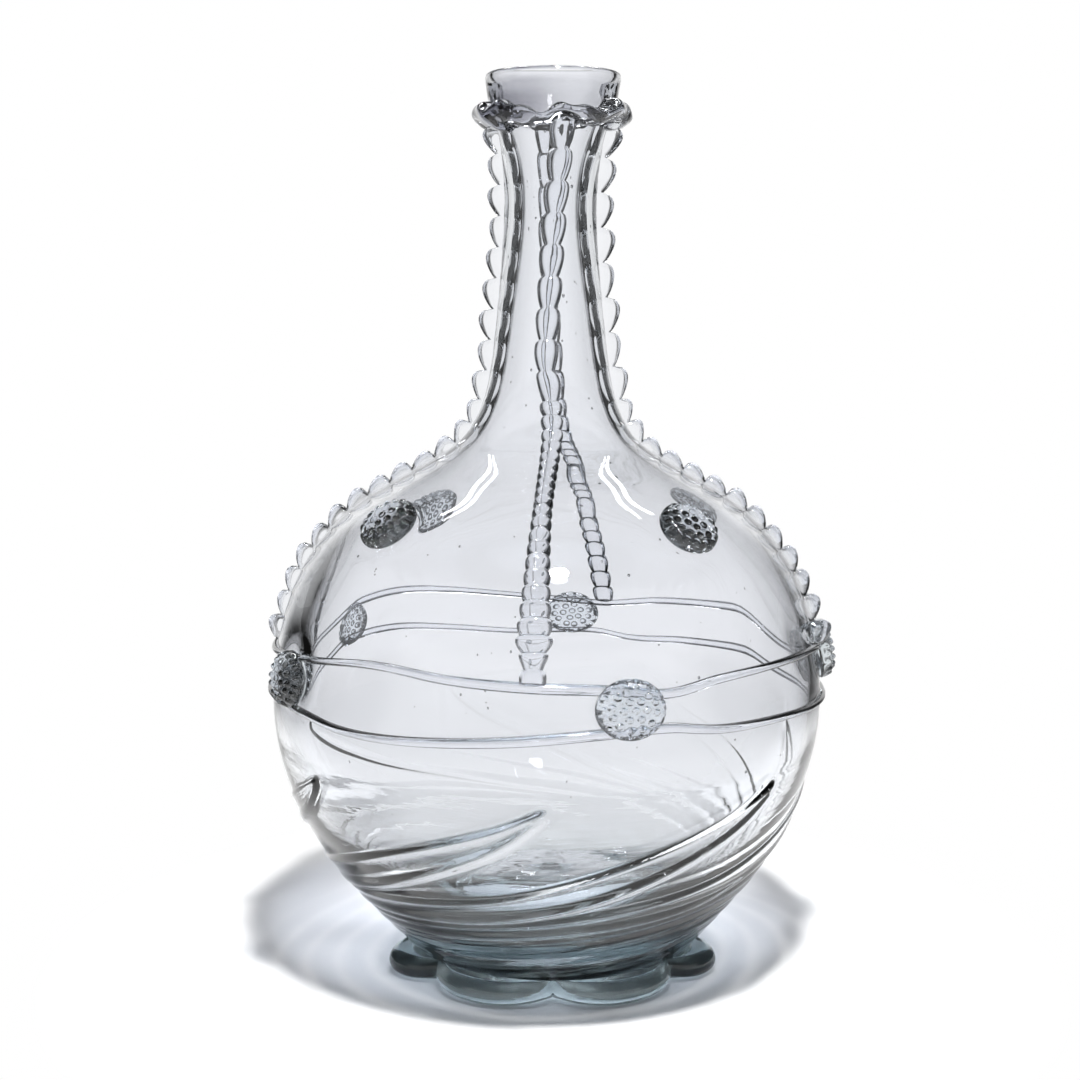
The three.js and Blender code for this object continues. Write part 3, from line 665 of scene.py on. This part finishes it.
# Pinched trails from the collar down to the upper thread. A route is its azimuths by the share of the way
# down, and widths are by that share too. Heights are a bead's and a pinch's, on the neck and then on the
# globe, and waists are a pinch's width as a share of a bead's, on the neck and on the globe.
trails = {
    "underCollar": 1.5, "neckEnd": 154, "overThread": 0.3, "globeBlend": 5, "hang": 0.64, "beadRound": 0.8,
    "sizes": (0.86, 1.08), "endWide": 0.3, "endSink": 0.8, "rowsEach": 12, "columns": 24,
    "calmFrom": 118, "calmTo": 152, "calmFade": 7, "calmSwell": 0.8, "calmFlatter": 0.42,
    "usual": {"heights": (4.5, 1.6, 3.9, 1.1), "waists": (0.88, 0.86), "calm": 0, "endSize": 1.0},
    "trail_front": {
        "route": [(0, 10.5), (0.04, 10), (0.1, 7.5), (0.14, 5), (0.19, 2.8), (0.25, 0.2), (0.31, -2),
                  (0.39, -3.9), (0.44, -0.2), (0.51, 1.9), (0.57, 0.3), (0.67, -1.4), (0.8, -2.2), (1, -2.8)],
        "widths": [(0, 6.8), (0.3, 6.6), (0.45, 6.2), (0.6, 5.2), (0.68, 5.0), (0.8, 6.0), (0.88, 7.4),
                   (0.93, 9.0), (0.972, 6.0), (1, 7.4)],
        "heights": (3.7, 2.9, 3.6, 2.9), "waists": (0.66, 0.76), "calm": 0.8,
        "neckPinches": 9, "globePinches": 22},
    "trail_right": {
        "route": [(0, 93), (0.2, 90), (0.4, 91), (0.6, 89), (0.8, 84), (1, 78)],
        "widths": [(0, 5.6), (0.5, 5.4), (0.8, 6.0), (0.92, 7.6), (0.96, 7.6), (1, 4.8)],
        "endSize": 1.4, "neckPinches": 8, "globePinches": 13},
    "trail_back": {
        "route": [(0, 190), (0.15, 188), (0.3, 178), (0.45, 172), (0.6, 168), (0.8, 167), (1, 165)],
        "widths": [(0, 6.4), (0.5, 6.0), (1, 6.6)],
        "heights": (3.4, 2.2, 3.0, 1.8), "waists": (0.70, 0.72), "neckPinches": 9, "globePinches": 16},
    "trail_left": {
        "route": [(0, 268), (0.2, 270), (0.5, 271), (0.8, 270), (1, 270)],
        "widths": [(0, 5.6), (0.5, 5.4), (1, 6.0)],
        "neckPinches": 9, "globePinches": 13},
}


def makeTrail(node, name, upperThread):
    trail = {**trails["usual"], **trails[node]}
    draw = random.Random(node)
    bends, widths = Curve(trail["route"]), Curve(trail["widths"])
    top = lengthAt(collar["level"] - trails["underCollar"])
    neckEnd = lengthAt(trails["neckEnd"])
    endAzimuth = (trail["route"][-1][1] - threads["startAt"]) % 360 + threads["startAt"]
    bottom = lengthAt(upperThread(endAzimuth)) + trails["overThread"]
    neckProud, neckValley, globeProud, globeValley = trail["heights"]
    neckPinches, globePinches = trail["neckPinches"], trail["globePinches"]
    pinches = neckPinches + globePinches
    sizes = [draw.uniform(*trails["sizes"]) for _ in range(pinches + 1)]
    sizes[pinches - 1] *= trail["endSize"]

    def calmAt(level):
        # How calm the beads are: on the slope of the shoulder, deep pinches would look black
        fromBelow = smooth((level - trails["calmFrom"]) / trails["calmFade"])
        return trail["calm"] * fromBelow * smooth((trails["calmTo"] - level) / trails["calmFade"])

    def place(across, up):
        pinch = up * pinches
        if pinch <= neckPinches:
            length = mix(top, neckEnd, pinch / neckPinches)
            onGlobe = 0
        else:
            below = (pinch - neckPinches) / globePinches
            length = mix(neckEnd, bottom, below)
            onGlobe = smooth(below * trails["globeBlend"])
        share = (top - length) / (top - bottom)
        radius, level = outlineAt(length)[:2]
        calm = calmAt(level)
        swell = abs(math.sin(math.pi * (pinch % 1.0) ** trails["hang"])) ** trails["beadRound"]
        crest = mix(neckProud, globeProud, onGlobe) * sizes[int(pinch)]
        valley = mix(neckValley, globeValley, onGlobe)
        proud = mix(valley, crest, mix(swell, trails["calmSwell"], calm))
        proud *= 1 - trails["calmFlatter"] * calm
        wide = widths(share) * mix(mix(*trail["waists"], onGlobe), 1.0, swell)
        turn = math.tau * across
        rise, side, sink = 0, -0.5 * math.cos(turn), seatDepth
        if math.sin(turn) > flush:
            rise, sink = math.sin(turn), 0
        if up <= 0 or up >= 1:
            rise, side, sink = 0, side * trails["endWide"], seatDepth * trails["endSink"]
        turned = bends(share) + math.degrees(side * wide / (radius + proud * rise / 2))
        return onGlass(turned, length, proud * rise - sink)

    shape = wrapped(trails["columns"], pinches * trails["rowsEach"], place)
    bmesh.ops.remove_doubles(shape, verts=shape.verts, dist=weldGap)
    bmesh.ops.holes_fill(shape, edges=[edge for edge in shape.edges if edge.is_boundary], sides=0)
    finishPiece(name, shape, trailGlass, "trail_glass", node)


# Raspberry prunts: a dome stamped with rings of knobs, and the (azimuth, level) of each. A ring is the number
# of its knobs and its share of the radius.
prunts = {
    "proud": 4.4, "domePower": 4.5, "edgeHeight": 0.82,
    "rings": ((1, 0.0), (6, 0.31), (12, 0.60), (17, 0.86)), "wander": 3, "spread": (0.97, 1.03),
    "knob": 0.8, "knobWide": 0.12, "knobRound": 0.8, "knobFade": 0.08,
    "rim": 0.9, "rimAt": 0.97, "rimWide": 0.03, "edgeFrom": 0.999, "edgeSink": 0.5,
    "domeRows": 0.84, "underside": 0.97, "columns": 156, "rows": 60,
    "upper": {"wide": 16.0, "tall": 15.6, "places": {
        "prunt_upper_front_left": (-46.5, 123.8), "prunt_upper_front_right": (39, 123.4),
        "prunt_upper_back_right": (123, 125.2), "prunt_upper_back_left": (219, 122.4)}},
    "lower": {"wide": 17.3, "tall": 14.6, "places": {
        "prunt_lower_front": (15, 85.0), "prunt_lower_right": (88, 85.6), "prunt_lower_back": (173.5, 84.9),
        "prunt_lower_back_left": (236, 86.4), "prunt_lower_left": (299, 84.8)}},
}


def knobTree(draw):
    # Where the knobs are, for a dome with a radius of 1
    knobs = kdtree.KDTree(sum(count for count, _ in prunts["rings"]))
    for count, ring in prunts["rings"]:
        start = draw.uniform(0, 360)
        for i in range(count):
            wander = draw.uniform(-prunts["wander"], prunts["wander"])
            turn = math.radians(start + 360 * i / count + wander)
            reach = ring * draw.uniform(*prunts["spread"])
            knobs.insert((reach * math.cos(turn), reach * math.sin(turn), 0), i)
    knobs.balance()
    return knobs


def makePrunt(node, place, wide, tall):
    azimuth, level = place
    middle = lengthAt(level)
    radius = outlineAt(middle)[0]
    knobs = knobTree(random.Random(node))
    domeRows = prunts["domeRows"]

    def domeAt(x, y, share):
        # How far the dome stands proud, where share is the distance from its middle
        near = (knobs.find((x, y, 0))[2] / prunts["knobWide"]) ** 2
        knob = prunts["knob"] * max(0.0, 1 - near) ** prunts["knobRound"]
        dome = math.sqrt(max(0.0, 1 - share ** prunts["domePower"]))
        proud = prunts["proud"] * dome * mix(prunts["edgeHeight"], 1.0, 1 - share * share)
        proud += knob * smooth((1 - share) / prunts["knobFade"])
        proud += prunts["rim"] * math.exp(-((share - prunts["rimAt"]) / prunts["rimWide"]) ** 2) * dome
        return proud if share <= prunts["edgeFrom"] else -seatDepth * prunts["edgeSink"]

    def placeCorner(across, up):
        # The dome from its middle out, then the underside back in
        turn = math.tau * across
        share = up / domeRows if up <= domeRows else prunts["underside"] * (1 - up) / (1 - domeRows)
        x, y = share * math.cos(turn), share * math.sin(turn)
        proud = domeAt(x, y, share) if up <= domeRows else -seatDepth
        return onGlass(azimuth + math.degrees(x * wide / 2 / radius), middle + y * tall / 2, proud)

    shape = wrapped(prunts["columns"], prunts["rows"], placeCorner)
    first, *others = node.split("_")
    name = first + "".join(word.capitalize() for word in others)
    finishPiece(name, shape, pruntGlass, "prunt_glass", node)


makeBody()
makeGather()
makeFoot()
makeCollar()
upperThread = makeThread("thread_upper", "upperThread")
makeThread("thread_lower", "lowerThread")
for side in ("front", "right", "back", "left"):
    makeTrail("trail_" + side, side + "Trail", upperThread)
for row in ("upper", "lower"):
    for node, place in prunts[row]["places"].items():
        makePrunt(node, place, prunts[row]["wide"], prunts[row]["tall"])
print("All pieces of glass are made")


# Studio, in metres: white behind and in front, dark to the sides, and a pale floor with painted caustic light
# round the foot
studio = {
    "back": 1.0, "dark": 0.05, "backHalfAngle": 31, "blend": 7, "panelTop": (0.28, 0.48),
    "front": 0.75, "frontFloor": 0.8, "frontHalfAngle": 66, "frontFrom": (0.22, 0.45),
    "floorHalf": 3, "floorDrop": 0.00005, "floorColour": 0.8, "dimColour": 0.10, "dimBetween": (0.2, 0.5),
    # Painted caustic light on the floor: its strength, the pool behind the foot, and the rings round it
    "plainBetween": (0.098, 0.14), "paintedCaustic": 0.78, "paintedPoolAside": (0.045, 0.074),
    "paintedPoolBehind": (0.035, 0.06), "rings": 0.26, "paintedRingPitch": 0.0088, "paintedRingsFrom": (0.04, 0.05),
    "paintedRingsTo": (0.068, 0.09), "wobble": 0.012, "wobbleScale": 14.0, "wobbleDetail": 1.0,
}


def sector(nodes, sideways, forward, halfAngle):
    # 1 within halfAngle degrees of the forward direction, 0 outside
    flat = (sideways * sideways + forward * forward).sum("SQRT") + tiny
    low = math.cos(math.radians(halfAngle + studio["blend"]))
    high = math.cos(math.radians(halfAngle - studio["blend"]))
    return (forward / flat).within(low, high)


def makeWorld():
    # Plain white to the camera, and white panels with dark between them to the glass
    world = bpy.data.worlds.new("surround")
    bpy.context.scene.world = world
    nodes = Nodes(world)
    direction = nodes.add("ShaderNodeTexCoord", output="Generated")
    sideways, backwards, upwards = nodes.split(direction)
    back = sector(nodes, sideways, backwards, studio["backHalfAngle"])
    front = sector(nodes, sideways, backwards * -1, studio["frontHalfAngle"]) * studio["front"]
    panel = (back + front) * (1 - upwards.within(*studio["panelTop"]))
    shade = panel * (studio["back"] - studio["dark"]) + studio["dark"]
    seen = nodes.add("ShaderNodeLightPath", output="Is Camera Ray")
    background = nodes.add("ShaderNodeBackground", inputs={
        "Color": (1, 1, 1, 1), "Strength": seen.sum("MAXIMUM", shade)})
    nodes.add("ShaderNodeOutputWorld", inputs={"Surface": background})


def floorFinish():
    material = bpy.data.materials.new("paleFloor")
    nodes = Nodes(material)
    place = nodes.add("ShaderNodeTexCoord", output="Object")
    sideways, backwards, _ = nodes.split(place)
    away = nodes.add("ShaderNodeVectorMath", {"operation": "LENGTH"}, {0: place}, output="Value")
    seen = nodes.add("ShaderNodeLightPath", output="Is Camera Ray")
    # Plain white past the shadow, to the camera all round and to the glass behind and in front
    behind = sector(nodes, sideways, backwards, studio["backHalfAngle"])
    front = sector(nodes, sideways, backwards * -1, studio["frontHalfAngle"]) * studio["frontFloor"]
    bright = seen.sum("MAXIMUM", behind) * away.within(*studio["plainBetween"])
    bright = bright.sum("MAXIMUM", front * away.within(*studio["frontFrom"]))
    # Elsewhere a pale floor that takes the shadow, and that the glass sees darker further out
    lit = nodes.add("ShaderNodeBsdfDiffuse", inputs={"Color": opaque([studio["floorColour"]] * 3)})
    dim = nodes.add("ShaderNodeBsdfDiffuse", inputs={"Color": opaque([studio["dimColour"]] * 3)})
    near = nodes.add("ShaderNodeMixShader", inputs={
        0: away.within(*studio["dimBetween"]) * (1 - seen), 1: lit, 2: dim})
    # Painted caustic light in place of what the round body gathers: a bright middle behind the foot, and
    # rings round the foot
    middle = 1 - sideways.sum("ABSOLUTE").within(*studio["paintedPoolAside"])
    wobble = nodes.add("ShaderNodeTexNoise", inputs={
        "Vector": place, "Scale": studio["wobbleScale"], "Detail": studio["wobbleDetail"]}) * studio["wobble"]
    ring = ((away + wobble) * (math.tau / studio["paintedRingPitch"])).sum("SINE") * 0.5 + 0.5
    rings = ring * ring * away.within(*studio["paintedRingsFrom"]) * (1 - away.within(*studio["paintedRingsTo"]))
    paintedCaustic = middle * backwards.within(*studio["paintedPoolBehind"]) + rings * studio["rings"]
    whiteOrPaintedCaustic = bright.sum("MAXIMUM", paintedCaustic * studio["paintedCaustic"])
    plain = nodes.add("ShaderNodeEmission", inputs={"Color": (1, 1, 1, 1), "Strength": 1.0})
    both = nodes.add("ShaderNodeMixShader", inputs={0: whiteOrPaintedCaustic, 1: near, 2: plain})
    nodes.add("ShaderNodeOutputMaterial", inputs={"Surface": both})
    return material


def makeFloor():
    shape = bmesh.new()
    bmesh.ops.create_grid(shape, x_segments=1, y_segments=1, size=studio["floorHalf"])
    bmesh.ops.translate(shape, vec=(0, 0, -studio["floorDrop"]), verts=shape.verts)
    mesh = bpy.data.meshes.new("floor")
    shape.to_mesh(mesh)
    shape.free()
    mesh.materials.append(floorFinish())
    floor = bpy.data.objects.new("floor", mesh)
    bpy.context.scene.collection.objects.link(floor)


# Lamps, in metres and watts: a small round one overhead, and strips above and behind. A strip runs between
# two directions from the aim, and each has a mirrored twin.
lamps = {
    "aim": (0.0, 0.0, 0.12), "overhead": (0.05, -0.30, 0.76), "overheadWide": 0.08, "overheadPower": 10.5,
    "stripAway": 0.85, "stripWide": 0.022, "stripPower": 0.3,
    "strips": [((-0.278, 0.632, 0.723), (-0.127, 0.52, 0.845)),
               ((-0.278, 0.632, 0.723), (-0.122, 0.604, 0.787)),
               ((-0.411, 0.443, 0.797), (-0.122, 0.604, 0.787))],
}


def addLamp(name, shape, size, power, place, turn):
    light = bpy.data.lights.new(name, "AREA")
    light.shape = shape
    light.size = size[0]
    if shape == "RECTANGLE":
        light.size_y = size[1]
    light.energy = power
    lamp = bpy.data.objects.new(name, light)
    bpy.context.scene.collection.objects.link(lamp)
    lamp.location = place
    lamp.rotation_euler = turn.to_euler()


def makeLamps():
    aim = Vector(lamps["aim"])
    place = Vector(lamps["overhead"])
    addLamp("overhead", "DISK", (lamps["overheadWide"],), lamps["overheadPower"], place,
            (aim - place).to_track_quat("-Z", "Y"))
    for side in (1, -1):
        for ends in lamps["strips"]:
            start, end = [aim + Vector((x * side, y, z)) * lamps["stripAway"] for x, y, z in ends]
            place = (start + end) / 2
            run = (end - start).normalized()
            out = (place - aim).normalized()
            square = Matrix((run, out.cross(run), out)).transposed()
            addLamp("strip", "RECTANGLE", ((end - start).length, lamps["stripWide"]), lamps["stripPower"],
                    place, square)


# Camera: the lens and sensor in millimetres, and the rest in metres and degrees
camera = {"lens": 54.67, "sensor": 36, "nearest": 0.01, "place": (-0.0024, -0.445, 0.1706), "tilt": 83}


def makeCamera():
    lens = bpy.data.cameras.new("camera")
    lens.lens = camera["lens"]
    lens.sensor_width = camera["sensor"]
    lens.clip_start = camera["nearest"]
    seat = bpy.data.objects.new("camera", lens)
    bpy.context.scene.collection.objects.link(seat)
    seat.location = camera["place"]
    seat.rotation_euler = (math.radians(camera["tilt"]), 0, 0)
    bpy.context.scene.camera = seat


makeWorld()
makeFloor()
makeLamps()
makeCamera()
bpy.context.scene.view_settings.view_transform = "Standard"
print("The studio is ready")
